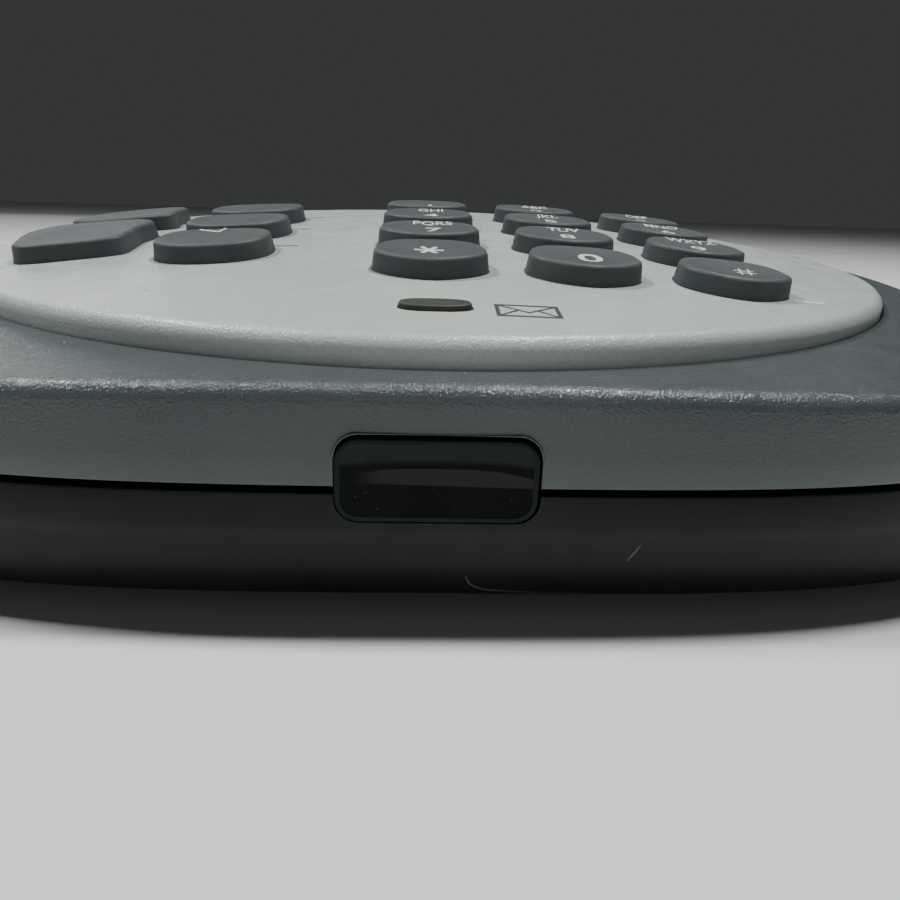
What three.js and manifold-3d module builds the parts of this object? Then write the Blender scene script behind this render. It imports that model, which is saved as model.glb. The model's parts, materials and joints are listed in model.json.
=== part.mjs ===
// Numeric keypad console: a two-part housing, a crowned oval fascia and sprung keys.
// Millimetres, +X to the right, +Y to the rear, +Z up, origin under the middle of the body at table level.
import * as THREE from "three";
import { mergeVertices } from "three/addons/utils/BufferGeometryUtils.js";
import Module from "manifold-3d";

const wasm = await Module();
wasm.setup();

// ---- driving sizes ----
const BODY = { halfWidth: 80.5, halfDepth: 54.84, frontPower: 3.5, rearPower: 2.4 };
const FACE_TILT = THREE.MathUtils.degToRad(7); // the key plane rises towards the rear
const FACE_ORIGIN = new THREE.Vector3(0, -24.3, 32.4); // crown level at the first dial row
const CROWN = { radiusX: 492, radiusY: 714, apexY: 20 }; // the fascia is domed both ways
const DECK_LEVEL = -4.5; // below the crown, in the key plane's frame
const DECK_RADIUS = 1150;
const SEAM_UPPER = -13.97;
const SEAM_LOWER = -14.62;
const CREASE_DROP = 3.9; // from the seam down to the crease line
const BELLY_Z = 1.3; // underside of the housing above the table
const BELLY_INSET = 5; // how far the lower wall curves under
const EDGE_RADIUS = 1.6;
const UPPER_WALL = 2.2;
const LOWER_WALL = 3.8;
const FLOOR = 2.2;
const TONGUE = { inset: 2.6, height: 2.2 };
const FASCIA = {
  halfWidth: 72,
  widestY: 36,
  frontReach: 61.9,
  frontPower: 1.92,
  rearReach: 28,
  rearPower: 2.3,
  thickness: 2.2,
  skirtBottom: -9.6,
  rimReach: 1.6,
  rimDrop: 1.6,
};
const GAP = 0.35; // running clearance between neighbouring pieces
const PITCH_X = 19.35;
const PITCH_Y = 15.53;
const FIRST_COLUMN_X = -0.6;
const FUNCTION_COLUMN_X = -29.55;
const WEDGE_COLUMN_X = -50.6;
const KEY_TRAVEL = 1.2;
const DOME_TOP = -8.4; // top of the rubber domes, in the key plane's frame
const STEM_END = DOME_TOP + KEY_TRAVEL + 0.3; // the plungers stop just above the domes
const FLANGE = { reach: 0.9, top: -2.65, bottom: -3.45 };
const WINDOW = { x: 0, z: 15.43, width: 19.5, height: 8.73, radius: 2.2, recess: 0.5, depth: 2.5 };
const SCREW_PLACES = [[60, -37], [38, 41.8]]; // the right half's; the left half mirrors them
const FOOT_PLACES = [[44, -36], [52, 27]];
const BOARD_POST_PLACES = [[44, -28], [44, 20]];
const FOOT = { radius: 6, top: 2.15, recessTop: 2.2 };
const SOCKET = { x: 16, z: 17.2, recess: 3, width: 15, height: 13, depth: 15 };
const SOCKET_MOUTH = { width: 10.4, height: 7.2, depth: 11 };
const LABEL = { width: 44, height: 24, bottom: 1.37, top: 1.62 };

// ---- solids ----
function toSolid(geometry) {
  const bare = geometry.clone();
  bare.deleteAttribute("normal");
  bare.deleteAttribute("uv");
  const merged = mergeVertices(bare, 1e-4);
  const mesh = new wasm.Mesh({
    numProp: 3,
    vertProperties: new Float32Array(merged.attributes.position.array),
    triVerts: new Uint32Array(merged.index.array),
  });
  return new wasm.Manifold(mesh);
}

function toGeometry(solid) {
  const mesh = solid.getMesh();
  const stride = mesh.numProp;
  const points = new Float32Array(mesh.numVert * 3);
  for (let i = 0; i < mesh.numVert; i++) {
    points.set(mesh.vertProperties.subarray(i * stride, i * stride + 3), i * 3);
  }
  const geometry = new THREE.BufferGeometry();
  geometry.setAttribute("position", new THREE.BufferAttribute(points, 3));
  geometry.setIndex(new THREE.BufferAttribute(new Uint32Array(mesh.triVerts), 1));
  geometry.computeVertexNormals();
  return geometry;
}

// A closed solid through rings of equal count, listed bottom to top and anticlockwise from above.
function loft(rings) {
  const count = rings[0].length;
  const points = rings.flat();
  const faces = [];
  for (let k = 0; k + 1 < rings.length; k++) {
    for (let i = 0; i < count; i++) {
      const a = k * count + i;
      const b = k * count + ((i + 1) % count);
      faces.push(a, b, b + count);
      faces.push(a, b + count, a + count);
    }
  }
  const flat = (ring) => ring.map((p) => new THREE.Vector2(p.x, p.y));
  const last = (rings.length - 1) * count;
  for (const [a, b, c] of THREE.ShapeUtils.triangulateShape(flat(rings[0]), [])) {
    faces.push(a, c, b);
  }
  for (const [a, b, c] of THREE.ShapeUtils.triangulateShape(flat(rings.at(-1)), [])) {
    faces.push(last + a, last + b, last + c);
  }
  const geometry = new THREE.BufferGeometry().setFromPoints(points);
  geometry.setIndex(faces);
  return toSolid(geometry);
}

function box(width, depth, height, x, y, z) {
  return toSolid(new THREE.BoxGeometry(width, depth, height).translate(x, y, z));
}

function post(radius, bottom, top, x, y, sides = 12) {
  const cylinder = new THREE.CylinderGeometry(radius, radius, top - bottom, sides);
  return toSolid(cylinder.rotateX(Math.PI / 2).translate(x, y, (bottom + top) / 2));
}

// A block with rounded corners in the XZ plane, running from front to rear along Y.
function roundedBlock(width, height, radius, x, z, front, rear) {
  const half = [width / 2 - radius, height / 2 - radius];
  const shape = new THREE.Shape();
  shape.absarc(half[0], half[1], radius, 0, Math.PI / 2);
  shape.absarc(-half[0], half[1], radius, Math.PI / 2, Math.PI);
  shape.absarc(-half[0], -half[1], radius, Math.PI, 1.5 * Math.PI);
  shape.absarc(half[0], -half[1], radius, 1.5 * Math.PI, 2 * Math.PI);
  const settings = { depth: rear - front, bevelEnabled: false, curveSegments: 4 };
  const block = new THREE.ExtrudeGeometry(shape, settings);
  return toSolid(block.rotateX(Math.PI / 2).translate(x, rear, z));
}

// ---- outlines, as lists of [x, y] ----
function superOutline(halfWidth, front, rear, frontPower, rearPower, count, y = 0) {
  const outline = [];
  for (let i = 0; i < count; i++) {
    const t = (2 * Math.PI * i) / count;
    const [c, s] = [Math.cos(t), Math.sin(t)];
    const power = s < 0 ? frontPower : rearPower;
    const reach = s < 0 ? front : rear;
    const px = Math.sign(c) * Math.abs(c) ** (2 / power) * halfWidth;
    const py = Math.sign(s) * Math.abs(s) ** (2 / power) * reach;
    outline.push([px, y + py]);
  }
  return outline;
}

function bodyOutline(inset, count = 52) {
  const { halfWidth, halfDepth, frontPower, rearPower } = BODY;
  const reach = halfDepth - inset;
  return superOutline(halfWidth - inset, reach, reach, frontPower, rearPower, count);
}

function fasciaOutline(inset, count = 44) {
  const f = FASCIA;
  const reach = [f.frontReach - inset, f.rearReach - inset];
  return superOutline(f.halfWidth - inset, ...reach, f.frontPower, f.rearPower, count, f.widestY);
}

function scaled(outline, factor, [cx, cy]) {
  return outline.map(([x, y]) => [cx + (x - cx) * factor, cy + (y - cy) * factor]);
}

// ---- heights ----
const crownZ = (x, y) => -(x ** 2) / (2 * CROWN.radiusX) - (y - CROWN.apexY) ** 2 / (2 * CROWN.radiusY);
const deckZ = (x) => DECK_LEVEL - x ** 2 / (2 * DECK_RADIUS);

// Table-frame height, at depth y, of a plane parallel to the key plane.
function faceHeight(level, y) {
  return FACE_ORIGIN.z + (y - FACE_ORIGIN.y) * Math.tan(FACE_TILT) + level / Math.cos(FACE_TILT);
}

const faceMatrix = new THREE.Matrix4()
  .makeRotationX(FACE_TILT)
  .setPosition(FACE_ORIGIN);
const intoFace = faceMatrix.clone().invert();

function movedBy(solid, matrix) {
  return toSolid(toGeometry(solid).applyMatrix4(matrix));
}

const ring = (outline, height) => outline.map(([x, y]) => new THREE.Vector3(x, y, height(x, y)));

// ---- housing ----
const onBothSides = (places) => [-1, 1].flatMap((side) => places.map(([x, y]) => [side * x, y]));
const BOSSES = onBothSides(SCREW_PLACES);
const FEET = onBothSides(FOOT_PLACES);

function windowOpening() {
  const { width, height, radius, x, z } = WINDOW;
  return roundedBlock(width, height, radius, x, z, -BODY.halfDepth - 5, -BODY.halfDepth + 7);
}

// Lofted in the table frame, so that the walls stand upright while the deck lies on the tilted plane.
function upperHousing() {
  const deck = (x, y, drop) => faceHeight(deckZ(x) - drop, y);
  const rings = [ring(bodyOutline(0), (x, y) => faceHeight(SEAM_UPPER, y))];
  for (const angle of [0, 30, 60, 90].map(THREE.MathUtils.degToRad)) {
    const inset = EDGE_RADIUS * (1 - Math.cos(angle));
    const drop = EDGE_RADIUS * (1 - Math.sin(angle));
    rings.push(ring(bodyOutline(inset + 0.25), (x, y) => deck(x, y, drop)));
  }
  rings.push(ring(scaled(bodyOutline(EDGE_RADIUS), 0.72, [0, 0]), (x, y) => deck(x, y, 0)));
  const cavity = loft([
    ring(bodyOutline(UPPER_WALL), (x, y) => faceHeight(SEAM_UPPER - 1, y)),
    ring(bodyOutline(UPPER_WALL + 0.25), (x, y) => deck(x, y, UPPER_WALL + 1)),
    ring(bodyOutline(UPPER_WALL + 1.25), (x, y) => deck(x, y, UPPER_WALL)),
  ]);
  const opening = loft([
    ring(fasciaOutline(-GAP - 0.05), () => -30),
    ring(fasciaOutline(-GAP - 0.05), () => 12),
  ]);
  let shell = loft(rings).subtract(cavity);
  for (const [x, y] of BOSSES) {
    const top = faceHeight(deckZ(x) - 1, y - 4);
    shell = shell.add(post(3.6, faceHeight(SEAM_UPPER, y - 4) + 0.6, top, x, y));
    shell = shell.subtract(post(1.6, 5, faceHeight(deckZ(x) - 3.4, y), x, y));
  }
  return shell.subtract(movedBy(opening, faceMatrix)).subtract(windowOpening());
}

function lowerShell() {
  const top = (x, y) => faceHeight(SEAM_LOWER, y);
  const crease = (x, y) => top(x, y) - CREASE_DROP;
  const rings = [];
  for (const s of [1, 0.92, 0.74, 0.45]) {
    const inset = 0.4 + BELLY_INSET * (1 - Math.sqrt(1 - s ** 2));
    rings.push(ring(bodyOutline(inset), (x, y) => crease(x, y) + (BELLY_Z - crease(x, y)) * s));
  }
  rings.push(ring(bodyOutline(0), crease));
  rings.push(ring(bodyOutline(0), top));
  rings.push(ring(bodyOutline(TONGUE.inset), top));
  rings.push(ring(bodyOutline(TONGUE.inset), (x, y) => top(x, y) + TONGUE.height));
  const floor = BELLY_Z + FLOOR;
  const cavity = loft([
    ring(bodyOutline(LOWER_WALL + 2.6), () => floor),
    ring(bodyOutline(LOWER_WALL + 0.9), () => floor + 2.2),
    ring(bodyOutline(LOWER_WALL), () => floor + 5),
    ring(bodyOutline(LOWER_WALL), (x, y) => top(x, y) + TONGUE.height + 1),
  ]);
  return loft(rings).subtract(cavity);
}

function lowerHousing() {
  const floor = BELLY_Z + FLOOR;
  let shell = lowerShell();
  for (const [x, y] of BOSSES) {
    shell = shell.add(post(5.2, floor - 1, faceHeight(SEAM_LOWER, y - 5), x, y));
    shell = shell.subtract(post(3.3, BELLY_Z - 1, 6.2, x, y));
    shell = shell.subtract(post(1.7, 0, 60, x, y));
  }
  for (const [x, y] of FEET) {
    shell = shell.subtract(post(FOOT.radius + GAP, 0, FOOT.recessTop, x, y, 16));
  }
  for (const [x, y] of onBothSides(BOARD_POST_PLACES)) {
    shell = shell.add(post(3, floor - 1, faceHeight(-12.1, y - 3), x, y));
  }
  const { width, height, depth } = SOCKET;
  const hole = [width + 2 * GAP, depth + 2 * GAP, height + 2 * GAP];
  shell = shell.subtract(box(...hole, SOCKET.x, BODY.halfDepth - depth / 2 + 2, SOCKET.z));
  shell = shell.subtract(box(LABEL.width + 0.7, LABEL.height + 0.7, 1, 0, 0, LABEL.top + 0.05 - 0.5));
  return shell.subtract(windowOpening());
}

// ---- keys, in the key plane's frame: outlines are about each key's own centre ----
function dialOutline(inset) {
  return superOutline(7.3 - inset, 5.16 - inset, 7.02 - inset, 1.68, 2.7, 18);
}

function functionOutline(inset) {
  return superOutline(7.8 - inset, 6.5 - inset, 6.3 - inset, 2.2, 3, 18);
}

function messageOutline(inset) {
  return superOutline(3.95 - inset, 1.5 - inset, 1.5 - inset, 2.6, 2.6, 14);
}

// A closed smooth outline through a few guide points, drawn in by an inset along its own normals.
function guidedOutline(guides, inset, count = 20) {
  const curve = new THREE.CatmullRomCurve3(
    guides.map(([x, y]) => new THREE.Vector3(x, y, 0)), true, "centripetal",
  );
  const outline = [];
  for (let i = 0; i < count; i++) {
    const point = curve.getPointAt(i / count);
    const along = curve.getTangentAt(i / count);
    outline.push([point.x - along.y * inset, point.y + along.x * inset]);
  }
  return outline;
}

const WEDGE_GUIDES = [
  [7.7, -5], [8, -1], [7.8, 4], [8.4, 9.4], [5.5, 12.6], [-2, 13.3], [-7.8, 12.2],
  [-10, 7.5], [-9.7, 3.2], [-8.4, -1.2], [-6.7, -5.8], [-4.8, -7.3], [0, -7.2],
];
const CORNER_GUIDES = [
  [8.2, -6.2], [7.8, -1], [8, 4.6], [5.6, 7.2], [-1, 7.6], [-6, 5.4],
  [-8.6, 0], [-9, -4.6], [-6.4, -7.4], [1, -7.6],
];
const wedgeOutline = (inset) => guidedOutline(WEDGE_GUIDES, inset);
const cornerOutline = (inset) => guidedOutline(CORNER_GUIDES, inset);

function keyList() {
  const labels = [["star", "0", "hash"], ["7", "8", "9"], ["4", "5", "6"], ["1", "2", "3"]];
  const keys = [];
  labels.forEach((row, j) => {
    row.forEach((label, i) => {
      const at = [FIRST_COLUMN_X + i * PITCH_X, j * PITCH_Y];
      keys.push({ name: `key_${label}`, at, outline: dialOutline, height: 2.52 });
    });
  });
  const names = ["front", "middle", "rear"];
  names.forEach((name, j) => {
    const at = [FUNCTION_COLUMN_X, 10 + j * PITCH_Y];
    keys.push({ name: `function_key_${name}`, at, outline: functionOutline, height: 2.4 });
  });
  keys.push({ name: "wedge_key_front", at: [WEDGE_COLUMN_X, 17.6], outline: wedgeOutline, height: 2.4 });
  keys.push({ name: "wedge_key_rear", at: [WEDGE_COLUMN_X, 42], outline: cornerOutline, height: 2.4 });
  keys.push({ name: "message_key", at: [-0.3, -16.1], outline: messageOutline, height: 0.6 });
  return keys;
}

// Stands a key's own frame on the crown, upright to the surface there.
function seatMatrix([x, y]) {
  const normal = new THREE.Vector3(x / CROWN.radiusX, (y - CROWN.apexY) / CROWN.radiusY, 1).normalize();
  const turn = new THREE.Quaternion().setFromUnitVectors(new THREE.Vector3(0, 0, 1), normal);
  const place = new THREE.Vector3(x, y, crownZ(x, y));
  return new THREE.Matrix4().compose(place, turn, new THREE.Vector3(1, 1, 1));
}

function keyCap({ at, outline, height }) {
  const stemEnd = STEM_END - crownZ(...at);
  const stem = scaled(outline(0), 0.3, [0, 0]);
  const levels = [
    [stem, stemEnd],
    [stem, FLANGE.bottom],
    [outline(-FLANGE.reach), FLANGE.bottom],
    [outline(-FLANGE.reach), FLANGE.top],
    [outline(0), FLANGE.top],
    [outline(0.22), height - Math.min(0.7, height / 2)],
    [outline(0.95), height],
  ];
  return loft(levels.map(([shape, z]) => ring(shape, () => z)));
}

function fascia(keys) {
  const f = FASCIA;
  const middle = [0, 22];
  const onCrown = (drop) => (x, y) => crownZ(x, y) - drop;
  const rings = [
    ring(fasciaOutline(0), () => f.skirtBottom),
    ring(fasciaOutline(0), onCrown(f.rimDrop)),
    ring(fasciaOutline(f.rimReach * 0.3), onCrown(f.rimDrop * 0.3)),
    ring(fasciaOutline(f.rimReach), onCrown(0)),
  ];
  for (const factor of [0.7, 0.45, 0.2]) {
    rings.push(ring(scaled(fasciaOutline(f.rimReach), factor, middle), onCrown(0)));
  }
  const under = fasciaOutline(f.thickness);
  const hollow = loft([
    ring(under, () => f.skirtBottom - 1),
    ring(under, onCrown(f.thickness + 0.4)),
    ...[0.85, 0.55, 0.25].map((factor) => ring(scaled(under, factor, middle), onCrown(f.thickness))),
  ]);
  let plate = loft(rings).subtract(hollow);
  for (const key of keys) {
    const shape = key.outline(-GAP);
    const cutter = loft([ring(shape, () => -6), ring(shape, () => 4)]);
    plate = plate.subtract(movedBy(cutter, seatMatrix(key.at)));
  }
  return plate;
}

// ---- the parts under the fascia, in the key plane's frame ----
function roundedPlate(halfWidth, halfDepth, y, bottom, top) {
  const outline = superOutline(halfWidth, halfDepth, halfDepth, 8, 8, 28, y);
  return loft([ring(outline, () => bottom), ring(outline, () => top)]);
}

function domeSheet(keys) {
  let sheet = roundedPlate(63, 41, 20, DOME_TOP - 1.4, DOME_TOP - 0.6);
  for (const { at } of keys) {
    sheet = sheet.add(post(2.6, DOME_TOP - 0.8, DOME_TOP, at[0], at[1], 6));
  }
  return sheet.intersect(fasciaHollow());
}

// Clear space inside the fascia's skirt and below it, which bounds the sheet.
function fasciaHollow() {
  const outline = fasciaOutline(FASCIA.thickness + GAP);
  return loft([ring(outline, () => -40), ring(outline, () => 0)]);
}

function mainBoard() {
  return roundedPlate(55, 40, 20, DOME_TOP - 3.4, DOME_TOP - 1.8);
}

// ---- parts in the table frame ----
function windowLens() {
  const { width, height, radius, x, z, recess, depth } = WINDOW;
  const front = -BODY.halfDepth + recess;
  const size = [width - 0.5, height - 0.5];
  const plate = roundedBlock(...size, radius - 0.25, x, z, front + 0.45, front + depth);
  const face = roundedBlock(size[0] - 1.1, size[1] - 1.1, radius - 0.7, x, z, front, front + 1);
  return plate.add(face);
}

function irTransceiver() {
  const y = -BODY.halfDepth + WINDOW.recess + WINDOW.depth + 0.4;
  const body = box(9, 4, 6, WINDOW.x, y + 3, WINDOW.z);
  const lens = (x) => toSolid(new THREE.SphereGeometry(1.9, 12, 8).translate(x, y + 1.95, WINDOW.z));
  return body.add(lens(WINDOW.x - 2.3)).add(lens(WINDOW.x + 2.3));
}

function lineSocket() {
  const s = SOCKET;
  const rear = BODY.halfDepth - s.recess;
  const body = box(s.width, s.depth, s.height, s.x, rear - s.depth / 2, s.z);
  const m = SOCKET_MOUTH;
  const mouth = box(m.width, m.depth, m.height, s.x, rear - m.depth / 2 + 0.5, s.z + 1);
  const latch = box(4.2, m.depth, 3, s.x, rear - m.depth / 2 + 0.5, s.z - 3.4);
  return body.subtract(mouth).subtract(latch);
}

function ratingLabel() {
  return box(LABEL.width, LABEL.height, LABEL.top - LABEL.bottom, 0, 0, (LABEL.top + LABEL.bottom) / 2);
}

function foot([x, y]) {
  const base = post(FOOT.radius - 0.8, 0, 1, x, y, 16);
  return base.add(post(FOOT.radius, 0.6, FOOT.top, x, y, 16));
}

function caseScrew([x, y]) {
  const head = post(2.8, 4, 6.1, x, y);
  const slot = box(4, 0.8, 1.6, x, y, 4).add(box(0.8, 4, 1.6, x, y, 4));
  const shank = post(1.25, 6, faceHeight(SEAM_UPPER, y) + 4.2, x, y, 8);
  return head.subtract(slot).add(shank);
}

// ---- assembly ----
const FINISH = {
  charcoal: { color: 0x262628, roughness: 0.55, metalness: 0 },
  blueGrey: { color: 0x64717a, roughness: 0.5, metalness: 0.1 },
  silver: { color: 0xa4aead, roughness: 0.45, metalness: 0.3 },
  slate: { color: 0x474d52, roughness: 0.6, metalness: 0 },
  smoked: { color: 0x0a0b0c, roughness: 0.08, metalness: 0 },
  bronze: { color: 0x55524a, roughness: 0.5, metalness: 0.1 },
  rubber: { color: 0x1b1b1c, roughness: 0.9, metalness: 0 },
  board: { color: 0x1f4a32, roughness: 0.6, metalness: 0 },
  steel: { color: 0x9a9da0, roughness: 0.35, metalness: 1 },
  paper: { color: 0xc9cbc8, roughness: 0.7, metalness: 0 },
};

function piece(name, solid, finish) {
  const mesh = new THREE.Mesh(toGeometry(solid), new THREE.MeshStandardMaterial(FINISH[finish]));
  mesh.name = name;
  return mesh;
}

function buildKeypad() {
  const root = new THREE.Group();
  const keys = keyList();
  root.add(piece("lower_housing", lowerHousing(), "charcoal"));
  root.add(piece("upper_housing", upperHousing(), "blueGrey"));
  root.add(piece("ir_window_lens", windowLens(), "smoked"));
  root.add(piece("ir_transceiver", irTransceiver(), "smoked"));
  root.add(piece("line_socket", lineSocket(), "rubber"));
  root.add(piece("rating_label", ratingLabel(), "paper"));
  FEET.forEach((at, i) => root.add(piece(`rubber_foot_${i + 1}`, foot(at), "rubber")));
  BOSSES.forEach((at, i) => root.add(piece(`case_screw_${i + 1}`, caseScrew(at), "steel")));

  const face = new THREE.Group();
  face.applyMatrix4(faceMatrix);
  face.add(piece("keypad_fascia", fascia(keys), "silver"));
  face.add(piece("dome_sheet", domeSheet(keys), "rubber"));
  face.add(piece("main_board", mainBoard(), "board"));
  for (const key of keys) {
    const cap = piece(key.name, keyCap(key), key.name === "message_key" ? "bronze" : "slate");
    cap.applyMatrix4(seatMatrix(key.at));
    face.add(cap);
  }
  root.add(face);
  return root;
}

export default buildKeypad();
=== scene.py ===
import json
import math
from collections import namedtuple

import bmesh
import bpy
from mathutils import Matrix, Vector

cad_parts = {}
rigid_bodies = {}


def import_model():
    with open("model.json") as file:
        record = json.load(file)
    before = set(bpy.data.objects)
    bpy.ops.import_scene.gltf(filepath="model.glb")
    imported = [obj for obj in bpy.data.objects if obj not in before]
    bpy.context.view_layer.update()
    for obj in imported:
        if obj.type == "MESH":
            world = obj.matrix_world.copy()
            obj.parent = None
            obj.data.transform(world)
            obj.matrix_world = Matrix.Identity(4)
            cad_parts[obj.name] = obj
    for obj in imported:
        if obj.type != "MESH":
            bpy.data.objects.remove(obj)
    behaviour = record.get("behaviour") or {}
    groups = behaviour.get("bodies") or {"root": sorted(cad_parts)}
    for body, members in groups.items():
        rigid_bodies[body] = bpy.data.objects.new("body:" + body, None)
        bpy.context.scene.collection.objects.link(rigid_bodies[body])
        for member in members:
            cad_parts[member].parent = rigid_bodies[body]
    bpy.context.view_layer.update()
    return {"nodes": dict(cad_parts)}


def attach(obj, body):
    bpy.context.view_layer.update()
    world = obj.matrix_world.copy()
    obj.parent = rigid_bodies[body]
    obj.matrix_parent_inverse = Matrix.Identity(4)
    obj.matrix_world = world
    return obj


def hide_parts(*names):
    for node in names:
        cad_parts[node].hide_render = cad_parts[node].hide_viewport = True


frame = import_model()
MM = 0.001

# ---- sizes shared with the CAD, in millimetres ----
BODY = {"width": 80.5, "depth": 54.84, "front_power": 3.5, "rear_power": 2.4}
TILT = math.radians(7)
FACE_ORIGIN = Vector((0, -24.3, 32.4))
FACE = Matrix.Translation(FACE_ORIGIN) @ Matrix.Rotation(TILT, 4, "X")
CROWN_X, CROWN_Y, CROWN_APEX = 492.0, 714.0, 20.0
DECK_LEVEL, DECK_RADIUS = -4.5, 1150.0
SEAM_UPPER, SEAM_LOWER = -13.97, -14.62
SEAM_ROUNDING = 0.3
EDGE_RADIUS, WALL_DRAFT = 1.6, 0.25
UPPER_WALL, DECK_THICKNESS, INNER_CORNER = 2.2, 2.6, 1.2
CREASE_DROP = 3.9
CREASE_STEP, CREASE_SOFT = 0.2, 0.8  # how far the lower wall steps in under its crease, and over what height
BELLY_Z, BELLY_INSET = 1.3, 5.0
LOWER_WALL, FLOOR_TOP, FLOOR_CORNER = 3.8, 3.5, 5.0
TONGUE_INSET, TONGUE_HEIGHT = 2.6, 2.2
FASCIA = {"width": 72.0, "front": 61.9, "rear": 28.0, "middle": 36.0, "front_power": 1.92, "rear_power": 2.3}
FASCIA_RIM, FASCIA_THICKNESS, FASCIA_WALL, FASCIA_SKIRT = 1.6, 2.3, 2.4, -9.6
FASCIA_CENTRE = 22
PITCH_X, PITCH_Y, COLUMN_X = 19.35, 15.53, -0.6
FUNCTION_X, WEDGE_X = -29.55, -50.6
WINDOW = {"x": 0.0, "z": 15.43, "width": 19.5, "height": 8.73, "radius": 2.3}
SOCKET = {"x": 16.0, "z": 17.2, "width": 15.0, "height": 13.0}
LABEL_RECESS = {"x": 22.35, "y": 12.35, "top": 1.67}
FOOT_PLACES = [(side * x, y) for side in (-1, 1) for x, y in ((44, -36), (52, 27))]
FOOT_RECESS = {"radius": 6.35, "top": 2.2}
SCREW_PLACES = [(side * x, y) for side in (-1, 1) for x, y in ((60, -37), (38, 41.8))]
SCREW_WELL = {"radius": 3.3, "top": 6.2}
SOCKET_GAP = 0.35
KEY_GAP = 0.12  # around each key in its opening
KEY_FLARE, KEY_SKIRT = 0.04, -3.3  # a key's foot spreads a little, and its side goes down inside the fascia
JOINT, LIP = 0.36, 0.12  # the joint around the fascia and the rounding of the opening beside it
PRINT_ON_KEY, PRINT_ON_FASCIA = 0.03, 0.02  # how far a print lies above its surface

# ---- how finely curves are drawn ----
CASE_POINTS, KEY_POINTS, GUIDED_POINTS, CIRCLE_POINTS = 256, 72, 96, 48
CORNER_STEPS, ROLL_STEPS = 14, 10


# ---- camera ----
def make_camera():
    """The camera stands close in front of the keypad and looks down across its keys."""
    yaw, pitch, roll = 0.05247, 0.43161, -0.03861
    ahead = Vector((math.sin(yaw) * math.cos(pitch), math.cos(yaw) * math.cos(pitch), -math.sin(pitch)))
    level = Vector((math.cos(yaw), -math.sin(yaw), 0))
    below = ahead.cross(level)
    right = math.cos(roll) * level + math.sin(roll) * below
    down = -math.sin(roll) * level + math.cos(roll) * below
    turn = Matrix((right, -down, -ahead)).transposed().to_4x4()
    place = FACE @ Vector((-2.30, -95.32, 19.02))
    data = bpy.data.cameras.new("camera")
    data.sensor_width = 36
    data.lens = 30.4
    data.clip_start = 0.002
    camera = bpy.data.objects.new("camera", data)
    camera.matrix_world = Matrix.Translation(place * MM) @ Matrix.Rotation(TILT, 4, "X") @ turn
    bpy.context.scene.collection.objects.link(camera)
    bpy.context.scene.camera = camera


# ---- heights ----
def crown(x, y):
    """The fascia's crowned top, over the key plane."""
    return -x * x / (2 * CROWN_X) - (y - CROWN_APEX) ** 2 / (2 * CROWN_Y)


def crown_normal(x, y):
    return Vector((x / CROWN_X, (y - CROWN_APEX) / CROWN_Y, 1)).normalized()


def deck(x):
    """The deck around the fascia, over the key plane."""
    return DECK_LEVEL - x * x / (2 * DECK_RADIUS)


def face_height(level, y):
    """The height over the table of a level that is given over the key plane."""
    return FACE_ORIGIN.z + (y - FACE_ORIGIN.y) * math.tan(TILT) + level / math.cos(TILT)


# ---- outlines, as lists of (x, y) in millimetres ----
def polar_outline(half_width, front, rear, front_power, rear_power, count, y=0.0):
    """A superellipse with its own reach and power to the front and to the rear of y."""
    points = []
    for i in range(count):
        t = 2 * math.pi * i / count
        c, s = math.cos(t), math.sin(t)
        reach, power = (front, front_power) if s < 0 else (rear, rear_power)
        r = ((abs(c) / half_width) ** power + (abs(s) / reach) ** power) ** (-1 / power)
        points.append((r * c, y + r * s))
    return points


def offset(outline, inward):
    """The outline moved inward along its own normals."""
    count = len(outline)
    moved = []
    for i, (x, y) in enumerate(outline):
        ax, ay = outline[i - 1]
        bx, by = outline[(i + 1) % count]
        length = math.hypot(bx - ax, by - ay)
        moved.append((x - (by - ay) / length * inward, y + (bx - ax) / length * inward))
    return moved


def scaled(outline, factor, middle=0.0):
    """The outline drawn in or out towards the point (0, middle)."""
    return [(x * factor, middle + (y - middle) * factor) for x, y in outline]


def body_outline(inset):
    b = BODY
    powers = b["front_power"], b["rear_power"]
    return offset(polar_outline(b["width"], b["depth"], b["depth"], *powers, CASE_POINTS), inset)


def fascia_outline(inset):
    f = FASCIA
    powers = f["front_power"], f["rear_power"]
    outline = polar_outline(f["width"], f["front"], f["rear"], *powers, CASE_POINTS, f["middle"])
    return offset(outline, inset)


def dial_outline(inset):
    return offset(polar_outline(7.3, 5.16, 7.02, 1.68, 2.7, KEY_POINTS), inset)


def function_outline(inset):
    return offset(polar_outline(7.8, 6.5, 6.3, 2.2, 3, KEY_POINTS), inset)


def message_outline(inset):
    return offset(polar_outline(3.95, 1.5, 1.5, 2.6, 2.6, KEY_POINTS), inset)


def between(a, b, start, end, u):
    """The point at u on the straight run from a at start to b at end."""
    return a * ((end - u) / (end - start)) + b * ((u - start) / (end - start))


def smooth_span(p, steps):
    """Points on the centripetal Catmull-Rom curve between the middle two of four points."""
    t = [0.0]
    for a, b in zip(p, p[1:]):
        t.append(t[-1] + (b - a).length ** 0.5)
    span = []
    for k in range(steps):
        u = t[1] + (t[2] - t[1]) * k / steps
        a = [between(p[j], p[j + 1], t[j], t[j + 1], u) for j in range(3)]
        b = [between(a[j], a[j + 1], t[j], t[j + 2], u) for j in range(2)]
        span.append(between(b[0], b[1], t[1], t[2], u))
    return span


def evenly_spaced(loop, count):
    """count points at equal distances along a closed loop."""
    lengths = [0.0]
    for a, b in zip(loop, loop[1:] + loop[:1]):
        lengths.append(lengths[-1] + (b - a).length)
    even, k = [], 0
    for i in range(count):
        want = lengths[-1] * i / count
        while lengths[k + 1] < want:
            k += 1
        share = (want - lengths[k]) / (lengths[k + 1] - lengths[k])
        q = loop[k].lerp(loop[(k + 1) % len(loop)], share)
        even.append((q.x, q.y))
    return even


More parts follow.
